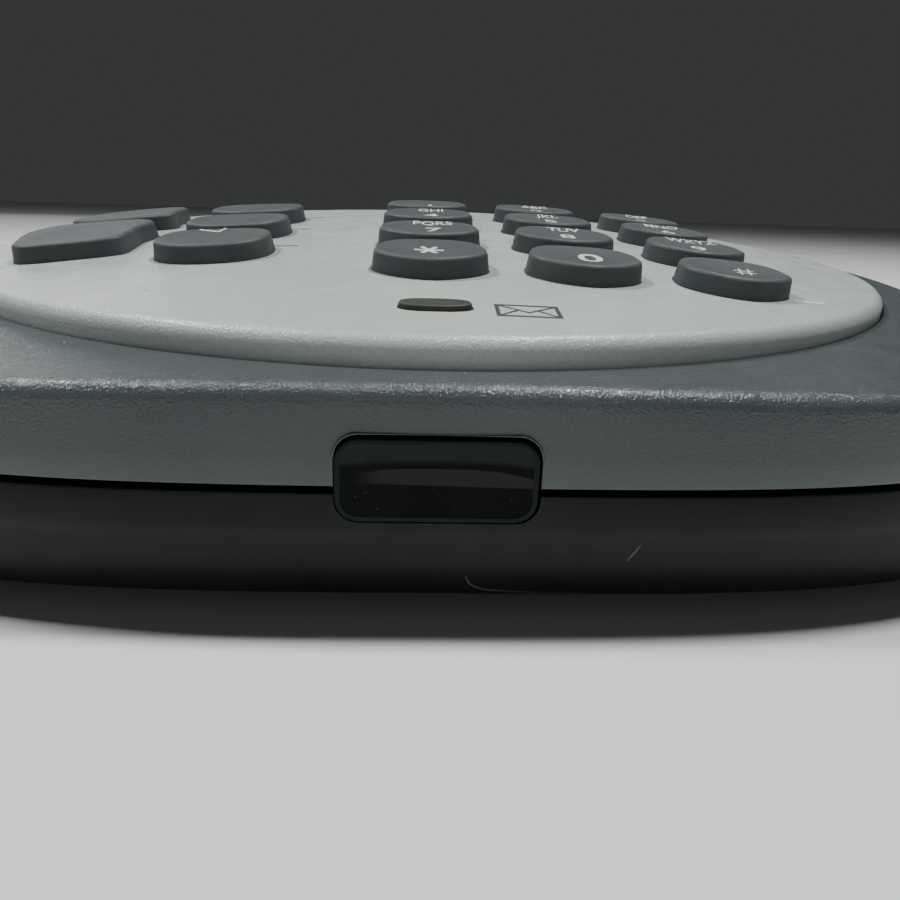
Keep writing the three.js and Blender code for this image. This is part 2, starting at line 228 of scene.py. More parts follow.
def guided_outline(guides, inset):
    """A closed smooth outline through guide points, drawn inward by inset."""
    points = [Vector(g) for g in guides]
    n = len(points)
    loop = []
    for i in range(n):
        loop += smooth_span([points[(i + k - 1) % n] for k in range(4)], 24)
    return offset(evenly_spaced(loop, GUIDED_POINTS), inset)


# guide points of the two large keys beside the function keys
WEDGE = [
    (7.7, -5), (8, -1), (7.8, 4), (8.4, 9.4), (5.5, 12.6), (-2, 13.3), (-7.8, 12.2),
    (-10, 7.5), (-9.7, 3.2), (-8.4, -1.2), (-6.7, -5.8), (-4.8, -7.3), (0, -7.2),
]
CORNER = [
    (8.2, -6.2), (7.8, -1), (8, 4.6), (5.6, 7.2), (-1, 7.6), (-6, 5.4),
    (-8.6, 0), (-9, -4.6), (-6.4, -7.4), (1, -7.6),
]


def wedge_outline(inset):
    return guided_outline(WEDGE, inset)


def corner_outline(inset):
    return guided_outline(CORNER, inset)


def raised(outline, height):
    """The outline lifted to the height that the function gives at each place."""
    return [(x, y, height(x, y)) for x, y in outline]


# ---- mesh building ----
def link(name, mesh, body, cad_nodes=(), material=None):
    """Puts a mesh into the scene and says which body it rides with and what it replaces."""
    obj = bpy.data.objects.new(name, mesh)
    bpy.context.scene.collection.objects.link(obj)
    if material:
        mesh.materials.append(material)
    if body:
        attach(obj, body)
    if cad_nodes:
        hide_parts(*cad_nodes)
    return obj


def mesh_of(name, points, faces, sharp=40):
    mesh = bpy.data.meshes.new(name)
    mesh.from_pydata([Vector(p) * MM for p in points], [], faces)
    mesh.validate()
    smooth(mesh, sharp)
    return mesh


def smooth(mesh, sharp=40):
    mesh.polygons.foreach_set("use_smooth", [True] * len(mesh.polygons))
    mesh.set_sharp_from_angle(angle=math.radians(sharp))
    mesh.update()


def loft(name, rings, closed=False, sharp=40, edge=None):
    """A skin over rings of equal count: capped at both ends, or joined end to start when closed.
    edge gives each ring's wear, kept in the attribute of that name."""
    count = len(rings[0])
    points = [p for ring in rings for p in ring]
    faces = []
    for k in range(len(rings) if closed else len(rings) - 1):
        low, high = k * count, ((k + 1) % len(rings)) * count
        for i in range(count):
            j = (i + 1) % count
            faces.append((low + i, low + j, high + j, high + i))
    if not closed:
        faces.append(tuple(reversed(range(count))))
        faces.append(tuple(range(len(points) - count, len(points))))
    mesh = mesh_of(name, points, faces, sharp)
    if edge:
        layer = mesh.attributes.new("edge", "FLOAT", "POINT")
        layer.data.foreach_set("value", [edge[i // count] for i in range(len(points))])
    return mesh


def carve(mesh, cutters):
    """mesh with the cutter meshes taken out of it."""
    obj = bpy.data.objects.new("carve", mesh)
    bpy.context.scene.collection.objects.link(obj)
    group = bpy.data.collections.new("cutters")
    for cutter in cutters:
        group.objects.link(bpy.data.objects.new("cutter", cutter))
    step = obj.modifiers.new("cut", "BOOLEAN")
    step.operand_type = "COLLECTION"
    step.collection = group
    step.operation = "DIFFERENCE"
    step.solver = "EXACT"
    bpy.context.view_layer.update()
    graph = bpy.context.evaluated_depsgraph_get()
    cut = bpy.data.meshes.new_from_object(obj.evaluated_get(graph))
    cut.name = mesh.name
    bpy.data.objects.remove(obj)
    for cutter in list(group.objects):
        bpy.data.objects.remove(cutter)
    bpy.data.collections.remove(group)
    smooth(cut)
    return cut


def rounded_rectangle(width, height, radius):
    points = []
    for k, (sx, sz) in enumerate([(1, 1), (-1, 1), (-1, -1), (1, -1)]):
        for i in range(CORNER_STEPS + 1):
            t = math.pi / 2 * (k + i / CORNER_STEPS)
            x = sx * (width / 2 - radius) + radius * math.cos(t)
            z = sz * (height / 2 - radius) + radius * math.sin(t)
            points.append((x, z))
    return points


def front_block(name, width, height, radius, x, z, layers):
    """A rounded block facing -Y. layers are (y, inset) from rear to front."""
    rings = []
    for y, inset in layers:
        shape = rounded_rectangle(width - 2 * inset, height - 2 * inset, max(radius - inset, 0.05))
        rings.append([(x + px, y, z + pz) for px, pz in shape])
    return loft(name, rings, sharp=30)


def circle(x, y, z, radius):
    turns = [2 * math.pi * i / CIRCLE_POINTS for i in range(CIRCLE_POINTS)]
    return [(x + radius * math.cos(t), y + radius * math.sin(t), z) for t in turns]


def disc_block(name, radius, bottom, top, x, y):
    return loft(name, [circle(x, y, z, radius) for z in (bottom, top)])


def box_block(name, low, high):
    (ax, ay, az), (bx, by, bz) = low, high
    rings = [[(ax, ay, z), (bx, ay, z), (bx, by, z), (ax, by, z)] for z in (az, bz)]
    return loft(name, rings)


# ---- materials ----
class Nodes:
    """A short way to write a material's node tree."""

    def __init__(self, name):
        self.material = bpy.data.materials.new(name)
        self.material.use_nodes = True
        self.tree = self.material.node_tree
        self.shader = self.tree.nodes["Principled BSDF"]
        self.place = self.tree.nodes.new("ShaderNodeTexCoord").outputs["Object"]

    def add(self, kind, inputs=(), **settings):
        node = self.tree.nodes.new("ShaderNode" + kind)
        for key, value in settings.items():
            setattr(node, key, value)
        for key, value in dict(inputs).items():
            self.set(node.inputs[key], value)
        return node

    def set(self, socket, value):
        if isinstance(value, bpy.types.NodeSocket):
            self.tree.links.new(value, socket)
        else:
            socket.default_value = value

    def noise(self, scale, detail=2.0, rough=0.5):
        inputs = {"Vector": self.place, "Scale": scale, "Detail": detail, "Roughness": rough}
        return self.add("TexNoise", inputs).outputs["Fac"]

    def ramp(self, value, low, high, to_low=0.0, to_high=1.0):
        inputs = {"Value": value, "From Min": low, "From Max": high, "To Min": to_low, "To Max": to_high}
        return self.add("MapRange", inputs).outputs["Result"]

    def math(self, operation, a, b):
        node = self.add("Math", operation=operation)
        self.set(node.inputs[0], a)
        self.set(node.inputs[1], b)
        return node.outputs[0]

    def mix(self, factor, a, b):
        node = self.add("Mix", data_type="RGBA")
        self.set(node.inputs[0], factor)
        self.set(node.inputs[6], a)
        self.set(node.inputs[7], b)
        return node.outputs[2]

    def bump(self, height, strength, distance):
        inputs = {"Height": height, "Strength": strength, "Distance": distance}
        return self.add("Bump", inputs).outputs["Normal"]

    def finish(self, color, roughness, normal=None, **constants):
        self.set(self.shader.inputs["Base Color"], color)
        self.set(self.shader.inputs["Roughness"], roughness)
        if normal:
            self.set(self.shader.inputs["Normal"], normal)
        for key, value in constants.items():
            self.shader.inputs[key].default_value = value
        return self.material


def paler(color, factor, lift=0.0):
    return (*[min(1, c * factor + lift) for c in color[:3]], 1)


def above_plane(n, level):
    """The height over a plane that runs parallel to the key plane and lies at level in the middle."""
    split = n.add("SeparateXYZ", {"Vector": n.place})
    rise = n.math("MULTIPLY", split.outputs["Y"], math.tan(TILT))
    return n.math("SUBTRACT", n.math("SUBTRACT", split.outputs["Z"], rise), level * MM)


def above_deck_edge(n):
    """The height over the lower end of the deck's rolled edge, which falls away to both sides."""
    across = n.add("SeparateXYZ", {"Vector": n.place}).outputs["X"]
    fall = n.math("MULTIPLY", n.math("MULTIPLY", across, across), 0.5 / (DECK_RADIUS * MM))
    return n.math("ADD", above_plane(n, face_height(DECK_LEVEL, 0) - EDGE_RADIUS), fall)


def grained_paint(name, light, dark, roughness, grain, strength, calm_wall=False):
    """Moulded case plastic under paint: fine spark-eroded grain, slight mottling and worn gloss.
    calm_wall makes the grain shallower on the walls, where the mould draws off."""
    n = Nodes(name)
    patches = n.ramp(n.noise(60, 4), 0.35, 0.65)
    speckle = n.ramp(n.noise(2600, 1), 0.35, 0.65)
    base = n.mix(patches, dark, light)
    color = n.mix(n.math("MULTIPLY", speckle, 0.14), base, paler(light, 1.35))
    gloss = n.ramp(n.noise(240, 3), 0.3, 0.7, roughness - 0.05, roughness + 0.07)
    height = n.ramp(n.noise(grain, 2, 0.6), 0.38, 0.66)
    if calm_wall:
        height = n.math("MULTIPLY", height, n.ramp(above_deck_edge(n), -0.0012, 0.0, 0.4, 1.0))
    normal = n.bump(height, strength, 0.00004)
    return n.finish(color, gloss, normal, IOR=1.45)


def charcoal(name):
    """Dark case plastic, with a painted highlight: a paler band along the crease that runs around the lower
    housing.
    """
    n = Nodes(name)
    # painted highlight: a paler band from about 2.6 mm below the crease to 0.7 mm above it, patchy along its
    # length
    above = above_plane(n, face_height(SEAM_LOWER, 0) - CREASE_DROP)
    upper = n.ramp(above, 0.0007, 0.0, 0.0, 1.0)
    lower = n.ramp(above, -0.0026, -0.0002, 0.0, 1.0)
    wear_and_painted_highlight = n.math("MULTIPLY", n.math("MULTIPLY", upper, lower), n.ramp(n.noise(300, 3), 0.2, 0.8, 0.6, 1.0))
    patches = n.ramp(n.noise(60, 4), 0.35, 0.65)
    base = n.mix(patches, (0.0086, 0.0102, 0.0104, 1), (0.0110, 0.0127, 0.0129, 1))
    # the colour of the painted highlight along the crease
    color = n.mix(wear_and_painted_highlight, base, (0.0160, 0.0162, 0.0166, 1))
    gloss = n.ramp(n.noise(240, 3), 0.3, 0.7, 0.40, 0.50)
    normal = n.bump(n.noise(4600, 2, 0.6), 0.35, 0.00006)
    return n.finish(color, gloss, normal, IOR=1.3)


def key_plastic(name, light, dark, bronze):
    """Satin key plastic, rubbed to bronze along its edges."""
    n = Nodes(name)
    edge = n.add("Attribute", attribute_name="edge").outputs["Fac"]
    patches = n.ramp(n.noise(160, 3), 0.35, 0.65)
    base = n.mix(patches, dark, light)
    wear_and_painted_highlight = n.ramp(n.noise(330, 4, 0.7), 0.49, 0.66)
    worn = n.math("MULTIPLY", n.math("MULTIPLY", edge, wear_and_painted_highlight), 0.85)
    pale = n.mix(n.math("MULTIPLY", edge, 0.12), base, paler(light, 1.5))
    color = n.mix(worn, pale, bronze)
    gloss = n.ramp(n.noise(900, 2), 0.3, 0.7, 0.50, 0.62)
    normal = n.bump(n.noise(4200, 2), 0.5, 0.00006)
    return n.finish(color, gloss, normal, IOR=1.36)


def ink(name, color):
    """Printed ink, worn thin in places."""
    n = Nodes(name)
    wear = n.ramp(n.noise(1500, 3), 0.3, 0.75)
    normal = n.bump(n.noise(5000, 1), 0.2, 0.00002)
    return n.finish(n.mix(wear, color, paler(color, 0.86)), 0.5, normal)


def smoked_window(name):
    """Black infrared-pass acrylic with a paler rim. Its paler upper part and the beige bar across it are
    painted reflections."""
    n = Nodes(name)
    split = n.add("SeparateXYZ", {"Vector": n.place})
    across, height = split.outputs["X"], split.outputs["Z"]
    bend = n.math("MULTIPLY", n.math("POWER", n.math("ABSOLUTE", across, 0), 3.0), 1300.0)
    bowed = n.math("ADD", height, bend)
    sloped = n.math("ADD", height, n.math("MULTIPLY", across, 0.02))
    haze = n.ramp(n.noise(160, 3), 0.35, 0.7)
    # painted reflection: the upper part of the lens is made paler
    upper = n.ramp(n.math("ADD", height, n.math("MULTIPLY", bend, 0.5)), 0.01690, 0.01745)
    # painted reflection: a beige bar with a curved upper edge across the middle of the lens
    under = n.math("MULTIPLY", n.ramp(sloped, 0.01478, 0.01490), n.ramp(bowed, 0.01655, 0.01642))
    painted_reflection_bar = n.math("MULTIPLY", under, n.ramp(across, -0.0078, -0.0052))
    color = n.mix(haze, (0.0022, 0.0034, 0.0032, 1), (0.0042, 0.0054, 0.0052, 1))
    color = n.mix(upper, color, (0.0200, 0.0245, 0.0262, 1))
    color = n.mix(painted_reflection_bar, color, (0.0290, 0.0285, 0.0262, 1))
    dust = n.ramp(n.noise(2600, 1), 0.76, 0.80)
    color = n.mix(n.math("MULTIPLY", dust, 0.5), color, (0.10, 0.10, 0.09, 1))
    rim = n.add("Attribute", attribute_name="edge").outputs["Fac"]
    color = n.mix(rim, color, (0.0165, 0.0200, 0.0215, 1))
    gloss = n.ramp(n.noise(700, 4), 0.45, 0.75, 0.10, 0.20)
    normal = n.bump(n.noise(45, 1), 0.05, 0.0006)
    return n.finish(color, gloss, normal, IOR=1.16)


def moulded(name, color, roughness, grain=2400, strength=0.3):
    """Plain moulded rubber, plastic or paper stock with faint clouding."""
    n = Nodes(name)
    patches = n.ramp(n.noise(120, 3), 0.3, 0.7)
    paint = n.mix(patches, color, paler(color, 1.45, 0.002))
    gloss = n.ramp(n.noise(500, 2), 0.3, 0.7, roughness - 0.06, roughness + 0.06)
    return n.finish(paint, gloss, n.bump(n.noise(grain, 2), strength, 0.00005))


def zinc(name):
    n = Nodes(name)
    cloud = n.ramp(n.noise(900, 3), 0.35, 0.65)
    color = n.mix(cloud, (0.40, 0.41, 0.42, 1), (0.55, 0.55, 0.54, 1))
    normal = n.bump(n.noise(3000, 2), 0.2, 0.00003)
    return n.finish(color, n.ramp(cloud, 0, 1, 0.28, 0.42), normal, Metallic=1.0)


def circuit(name):
    """Solder mask with a grid of slightly raised tracks."""
    n = Nodes(name)
    bricks = n.add("TexBrick", {"Vector": n.place, "Scale": 160.0, "Mortar Size": 0.03})
    lines = n.ramp(bricks.outputs["Fac"], 0, 1)
    color = n.mix(lines, (0.012, 0.070, 0.030, 1), (0.035, 0.130, 0.060, 1))
    return n.finish(color, n.ramp(n.noise(300, 2), 0.3, 0.7, 0.3, 0.45), n.bump(lines, 0.3, 0.00005))


def make_materials():
    blue_grey = (0.070, 0.084, 0.087, 1), (0.060, 0.073, 0.077, 1)
    silver = (0.458, 0.515, 0.482, 1), (0.424, 0.479, 0.448, 1)
    slate = (0.063, 0.073, 0.077, 1), (0.053, 0.062, 0.066, 1), (0.108, 0.092, 0.064, 1)
    bronze = (0.042, 0.043, 0.035, 1), (0.030, 0.033, 0.029, 1), (0.105, 0.076, 0.038, 1)
    return {
        "upper": grained_paint("blue_grey_paint", *blue_grey, 0.18, 3600, 1.0, calm_wall=True),
        "lower": charcoal("charcoal_plastic"),
        "fascia": grained_paint("silver_paint", *silver, 0.18, 3600, 0.75),
        "key": key_plastic("slate_key_plastic", *slate),
        "bronze": key_plastic("bronze_key_plastic", *bronze),
        "window": smoked_window("smoked_window"),
        "legend": ink("cream_ink", (0.66, 0.65, 0.57, 1)),
        "faded": ink("faded_cream_ink", (0.62, 0.60, 0.50, 1)),
        "print": ink("dark_ink", (0.045, 0.050, 0.050, 1)),
        "rubber": moulded("foot_rubber", (0.012, 0.012, 0.012, 1), 0.8),
        "socket": moulded("socket_plastic", (0.014, 0.014, 0.015, 1), 0.4),
        "label": moulded("blank_label_stock", (0.55, 0.57, 0.56, 1), 0.55, 1200, 0.15),
        "sheet": moulded("silicone_sheet", (0.030, 0.030, 0.032, 1), 0.6),
        "steel": zinc("zinc_plate"),
        "board": circuit("circuit_board"),
        "scuff": ink("scuff", (0.11, 0.11, 0.105, 1)),
    }


# ---- housing ----
def window_cutter():
    w = WINDOW
    layers = [(-BODY["depth"] + 9, 0), (-BODY["depth"] - 4, 0)]
    return front_block("window_cut", w["width"], w["height"], w["radius"], w["x"], w["z"], layers)


def upper_seam(x, y):
    return face_height(SEAM_UPPER, y)


def upper_wall_rings():
    """From the seam up the drafted wall and over the rolled edge onto the deck."""
    def wall(x, y, share):
        foot = upper_seam(x, y) + SEAM_ROUNDING
        return foot + share * (face_height(deck(x), y) - EDGE_RADIUS - foot)

    rings = [
        raised(body_outline(SEAM_ROUNDING), upper_seam),
        raised(body_outline(0.10), lambda x, y: upper_seam(x, y) + 0.06),
        raised(body_outline(0.0), lambda x, y: upper_seam(x, y) + SEAM_ROUNDING),
    ]
    for share in (0.35, 0.7):
        rings.append(raised(body_outline(WALL_DRAFT * share), lambda x, y, s=share: wall(x, y, s)))
    for k in range(ROLL_STEPS + 1):
        t = math.pi / 2 * k / ROLL_STEPS
        inset = WALL_DRAFT + EDGE_RADIUS * (1 - math.cos(t))
        drop = EDGE_RADIUS * (1 - math.sin(t))
        rings.append(raised(body_outline(inset), lambda x, y, d=drop: face_height(deck(x), y) - d))
    return rings


def deck_rings(outer, inner):
    """Across the deck, from its rolled edge to the opening for the fascia."""
    rings = []
    for share in (0.12, 0.3, 0.5, 0.7, 0.88):
        ring = []
        for a, b in zip(outer, inner):
            x, y = a[0] + (b[0] - a[0]) * share, a[1] + (b[1] - a[1]) * share
            ring.append((x, y, face_height(deck(x), y)))
        rings.append(ring)
    return rings


def upper_inside_rings():
    """Down through the opening with its rounded lip, then back under the deck and down the wall."""
    rings = []
    for k in range(5):
        t = math.pi / 2 * k / 4
        out, drop = LIP * (1 - math.sin(t)), LIP * (1 - math.cos(t))
        rings.append(fascia_ring(-JOINT - out, lambda x, y, d=drop: deck(x) - d))
    rings.append(fascia_ring(-JOINT, lambda x, y: deck(x) - DECK_THICKNESS))
    for corner in (0, INNER_CORNER):
        outline, depth = body_outline(UPPER_WALL + INNER_CORNER - corner), DECK_THICKNESS + corner
        rings.append(raised(outline, lambda x, y, d=depth: face_height(deck(x) - d, y)))
    rings.append(raised(body_outline(UPPER_WALL), upper_seam))
    return rings


def upper_mesh():
    wall = upper_wall_rings()
    across = deck_rings(wall[-1], fascia_ring(-JOINT - LIP, lambda x, y: deck(x)))
    rings = wall + across + upper_inside_rings()
    return carve(loft("upper_shell", rings, closed=True), [window_cutter()])


def fascia_ring(inset, height):
    return [tuple(FACE @ Vector((x, y, height(x, y)))) for x, y in fascia_outline(inset)]


def belly_height(bend, share):
    """The height on the curved-under wall, whose crease is at bend: share is 0 just below it and 1 at
    the underside."""
    start = bend - CREASE_SOFT
    return start + (BELLY_Z - start) * share


def lower_seam(x, y):
    return face_height(SEAM_LOWER, y)


def crease(x, y):
    return lower_seam(x, y) - CREASE_DROP


def belly_inset(share):
    """How far the curved-under wall has moved inward at that share."""
    return CREASE_STEP + BELLY_INSET * (1 - math.sqrt(1 - share * share))


def lower_outside_rings():
    """From the middle of the underside, up the curved belly and past the crease to the seam."""
    rings = [raised(scaled(body_outline(9), 0.5), lambda x, y: BELLY_Z)]
    rings.append(raised(body_outline(8), lambda x, y: BELLY_Z))
    for k in range(16):
        share = math.cos(math.pi / 2 * k / 15)
        outline = body_outline(belly_inset(share))
        rings.append(raised(outline, lambda x, y, s=share: belly_height(crease(x, y), s)))
    for inset, rise in ((0.12, -0.5), (0.05, -0.2), (0.01, 0.15), (0.0, 0.5)):
        rings.append(raised(body_outline(inset), lambda x, y, r=rise: crease(x, y) + r))
    rings.append(raised(body_outline(0.0), lambda x, y: lower_seam(x, y) - SEAM_ROUNDING))
    rings.append(raised(body_outline(0.09), lambda x, y: lower_seam(x, y) - 0.07))
    rings.append(raised(body_outline(SEAM_ROUNDING), lower_seam))
    return rings


def lower_inside_rings():
    """Over the tongue that stands up inside the upper housing, then down the wall to the floor."""
    def tongue(x, y):
        return lower_seam(x, y) + TONGUE_HEIGHT

    rings = [raised(body_outline(TONGUE_INSET), lower_seam)]
    rings.append(raised(body_outline(TONGUE_INSET), tongue))
    rings.append(raised(body_outline(LOWER_WALL), tongue))
    rings.append(raised(body_outline(LOWER_WALL), lambda x, y: FLOOR_TOP + FLOOR_CORNER))
    rings.append(raised(body_outline(LOWER_WALL + 2.6), lambda x, y: FLOOR_TOP))
    rings.append(raised(scaled(body_outline(9), 0.5), lambda x, y: FLOOR_TOP))
    return rings


def lower_cutters():
    s, label, foot, screw = SOCKET, LABEL_RECESS, FOOT_RECESS, SCREW_WELL
    w, h = s["width"] / 2 + SOCKET_GAP, s["height"] / 2 + SOCKET_GAP
    cutters = [window_cutter()]
    cutters.append(box_block("socket_cut", (s["x"] - w, 36, s["z"] - h), (s["x"] + w, 60, s["z"] + h)))
    low, high = (-label["x"], -label["y"], 0), (label["x"], label["y"], label["top"])
    cutters.append(box_block("label_cut", low, high))
    cutters += [disc_block("foot_cut", foot["radius"], 0, foot["top"], x, y) for x, y in FOOT_PLACES]
    cutters += [disc_block("screw_cut", screw["radius"], 0, screw["top"], x, y) for x, y in SCREW_PLACES]
    return cutters


def lower_mesh():
    rings = lower_outside_rings() + lower_inside_rings()
    return carve(loft("lower_shell", rings), lower_cutters())


# ---- fascia and keys, in the key plane's frame ----
def seat(place):
    """The frame of a key that stands square on the crowned face at a place."""
    x, y = place
    turn = Vector((0, 0, 1)).rotation_difference(crown_normal(x, y)).to_matrix().to_4x4()
    return FACE @ Matrix.Translation((x, y, crown(x, y))) @ turn


def placed(mesh, matrix):
    """The mesh moved by a matrix that is written in millimetres."""
    mesh.transform(Matrix.Scale(MM, 4) @ matrix @ Matrix.Scale(1 / MM, 4))
    return mesh


# A key's shape. dish is the depth of the hollow, its half width and half length, and its middle.
Shape = namedtuple("Shape", "outline height draft radius dish")
DIAL = Shape(dial_outline, 2.52, 0.22, 0.6, (0.42, 6.4, 5.4, 0.7))
FUNCTION = Shape(function_outline, 2.4, 0.22, 0.6, (0.40, 7.2, 5.8, 0.0))
WEDGE_SHAPE = Shape(wedge_outline, 2.4, 0.22, 0.6, (0.35, 7.0, 10.0, 1.5))
CORNER_SHAPE = Shape(corner_outline, 2.4, 0.22, 0.6, (0.35, 7.0, 6.3, 0.0))
MESSAGE = Shape(message_outline, 0.6, 0.05, 0.30, (0.05, 3.4, 1.0, 0.0))


def key_table():
    """Each key as (name, place on the key plane, shape)."""
    keys = []
    rows = [("star", "0", "hash"), ("7", "8", "9"), ("4", "5", "6"), ("1", "2", "3")]
    for j, row in enumerate(rows):
        for i, label in enumerate(row):
            keys.append((f"key_{label}", (COLUMN_X + i * PITCH_X, j * PITCH_Y), DIAL))
    for j, name in enumerate(("front", "middle", "rear")):
        keys.append((f"function_key_{name}", (FUNCTION_X, 10 + j * PITCH_Y), FUNCTION))
    keys.append(("wedge_key_front", (WEDGE_X, 17.6), WEDGE_SHAPE))
    keys.append(("wedge_key_rear", (WEDGE_X, 42), CORNER_SHAPE))
    keys.append(("message_key", (-0.3, -16.1), MESSAGE))
    return keys


def fascia_rings():
    """The rings of the fascia's skirt, rim and top, then those of its underside."""
    def dropped(outline, drop):
        return [(x, y, crown(x, y) - drop) for x, y in outline]

    skirt = ((FASCIA_WALL, 0), (0.3, 0), (0, 0.3))
    rings = [raised(fascia_outline(inset), lambda x, y, r=rise: FASCIA_SKIRT + r) for inset, rise in skirt]
    for k in range(ROLL_STEPS + 1):
        t = math.pi / 2 * k / ROLL_STEPS
        outline = fascia_outline(FASCIA_RIM * (1 - math.cos(t)))
        rings.append(dropped(outline, FASCIA_RIM * (1 - math.sin(t))))
    edge = fascia_outline(FASCIA_RIM)
    for k in range(1, 14):
        rings.append(dropped(scaled(edge, 1 - k / 14, FASCIA_CENTRE), 0))
    under = fascia_outline(FASCIA_WALL)
    shares = [0.06 + 0.94 * k / 8 for k in range(9)]
    below = [dropped(scaled(under, share, FASCIA_CENTRE), FASCIA_THICKNESS) for share in shares]
    return rings, below


def fascia_shell():
    """The fascia without its openings: a cap whose top and underside are each closed in the middle."""
    rings, below = fascia_rings()
    count = len(rings[0])
    points = [p for ring in rings + below for p in ring]
    total = len(rings) + len(below)
    faces = []
    for k in range(total):
        if k == len(rings) - 1:
            continue
        low, high = k * count, ((k + 1) % total) * count
        for i in range(count):
            j = (i + 1) % count
            faces.append((low + i, low + j, high + j, high + i))
    last = (len(rings) - 1) * count
    faces.append(tuple(range(last, last + count)))
    first = len(rings) * count
    faces.append(tuple(reversed(range(first, first + count))))
    return mesh_of("fascia_shell", points, faces)


def fascia_mesh(keys):
    cutters = []
    for _, place, shape in keys:
        hole = shape.outline(-KEY_GAP)
        cutter = loft("key_hole", [[(x, y, -5.5) for x, y in hole], [(x, y, 4) for x, y in hole]])
        there = FACE.inverted() @ seat(place)
        cutters.append(placed(cutter, there))
    shell = carve(fascia_shell(), cutters)
    true_normals(shell)
    return placed(shell, FACE)


def true_normals(mesh):
    """Gives the crowned top its exact smooth normals, so the key holes leave no shading marks."""
    normals = []
    for polygon in mesh.polygons:
        for index in polygon.vertices:
            x, y, z = mesh.vertices[index].co / MM
            up = crown_normal(x, y)
            on_crown = abs(z - crown(x, y)) < 0.03 and polygon.normal.dot(up) > 0.985
            normals.append(up if on_crown else Vector((0, 0, 0)))
    mesh.normals_split_custom_set(normals)


def key_mesh(name, shape):
    """A key cap from its skirt up the drafted side and over the rounded edge into the hollowed top."""
    outline, height, draft, radius, _ = shape
    foot = min(0.25, height / 5)
    rings, edge = [], []

    def add(line, z, wear):
        rings.append([(x, y, z) for x, y in line])
        edge.append(wear)

    add(outline(0.0), KEY_SKIRT, 0)
    add(outline(-KEY_FLARE), -0.4, 0)
    add(outline(-KEY_FLARE), 0.0, 0.1)
    add(outline(0.02), foot, 0.15)
    for share in (0.35, 0.7, 1):
        add(outline(draft * share), foot + (height - radius - foot) * share, 0.1 + 0.15 * share)
    for k in range(1, 9):
        t = math.pi / 2 * k / 8
        line = outline(draft + radius * (1 - math.cos(t)))
        add(line, height - radius * (1 - math.sin(t)), 0.35 + 0.65 * math.sin(2 * t))
    top = outline(draft + radius)
    for k in range(1, 13):
        line = scaled(top, 1 - k / 13, 0.6)
        rings.append([(x, y, top_height(shape, x, y)) for x, y in line])
        edge.append(0.3 if k == 1 else 0)
    return loft(name, rings, edge=edge)


def top_height(shape, x, y):
    """A key's hollowed top: its height at a place on it."""
    depth, half_x, half_y, middle = shape.dish
    inside = 1 - (x / half_x) ** 2 - ((y - middle) / half_y) ** 2
    return shape.height - depth * max(0, inside)


# ---- legends ----
def flat_text(body, size, x, y, stretch=1.0, weight=0.012):
    """Flat letters around (x, y). weight thickens them, as a share of their size."""
    data = bpy.data.curves.new("legend", "FONT")
    data.body = body
    data.size = size
    data.align_x = "CENTER"
    data.align_y = "CENTER"
    data.offset = size * weight
    data.resolution_u = 4
    obj = bpy.data.objects.new("legend", data)
    bpy.context.scene.collection.objects.link(obj)
    bpy.context.view_layer.update()
    mesh = bpy.data.meshes.new_from_object(obj.evaluated_get(bpy.context.evaluated_depsgraph_get()))
    bpy.data.objects.remove(obj)
    points = [[v.co.x * stretch + x, v.co.y + y] for v in mesh.vertices]
    return points, [tuple(f.vertices) for f in mesh.polygons]


def strokes(lines, width):
    """Flat printed lines: each is a list of points drawn at one width."""
    points, faces = [], []
    for line in lines:
        for (ax, ay), (bx, by) in zip(line, line[1:]):
            dx, dy = bx - ax, by - ay
            length = math.hypot(dx, dy)
            nx, ny = -dy / length * width / 2, dx / length * width / 2
            ex, ey = dx / length * width / 2, dy / length * width / 2
            k = len(points)
            points += [[ax - nx - ex, ay - ny - ey], [bx - nx + ex, by - ny + ey]]
            points += [[bx + nx + ex, by + ny + ey], [ax + nx - ex, ay + ny - ey]]
            faces.append((k, k + 1, k + 2, k + 3))
    return points, faces


def join_flat(parts):
    points, faces = [], []
    for more, shapes in parts:
        faces += [tuple(i + len(points) for i in f) for f in shapes]
        points += more
    return points, faces


def key_print(name, place, shape, parts, material, body):
    points, faces = join_flat([finer(part) for part in parts])
    lifted = [(x, y, top_height(shape, x, y) + PRINT_ON_KEY) for x, y in points]
    mesh = placed(mesh_of(name, lifted, faces), seat(place))
    return link(name, mesh, body, material=material)


def finer(part, step=0.45):
    """A flat print with no edge longer than step, so that it follows a curved face."""
    points, faces = part
    grid = bmesh.new()
    corners = [grid.verts.new((x, y, 0)) for x, y in points]
    for face in faces:
        grid.faces.new([corners[i] for i in face])
    bmesh.ops.triangulate(grid, faces=grid.faces)
    for _ in range(4):
        long = [e for e in grid.edges if e.calc_length() > step]
        if not long:
            break
        bmesh.ops.subdivide_edges(grid, edges=long, cuts=1)
        bmesh.ops.triangulate(grid, faces=grid.faces)
    grid.verts.index_update()
    out = [[v.co.x, v.co.y] for v in grid.verts], [tuple(v.index for v in f.verts) for f in grid.faces]
    grid.free()
    return out


def fascia_print(name, parts, material):
    points, faces = join_flat([finer(part, 1.2) for part in parts])
    lifted = [(x, y, crown(x, y) + PRINT_ON_FASCIA) for x, y in points]
    return link(name, placed(mesh_of(name, lifted, faces), FACE), "console", material=material)


def star_strokes(x, y, size):
    lines = []
    for t in (0, math.pi / 3, 2 * math.pi / 3):
        dx, dy = size * math.cos(t), size * math.sin(t)
        lines.append([(x - dx, y - dy), (x + dx, y + dy)])
    return lines


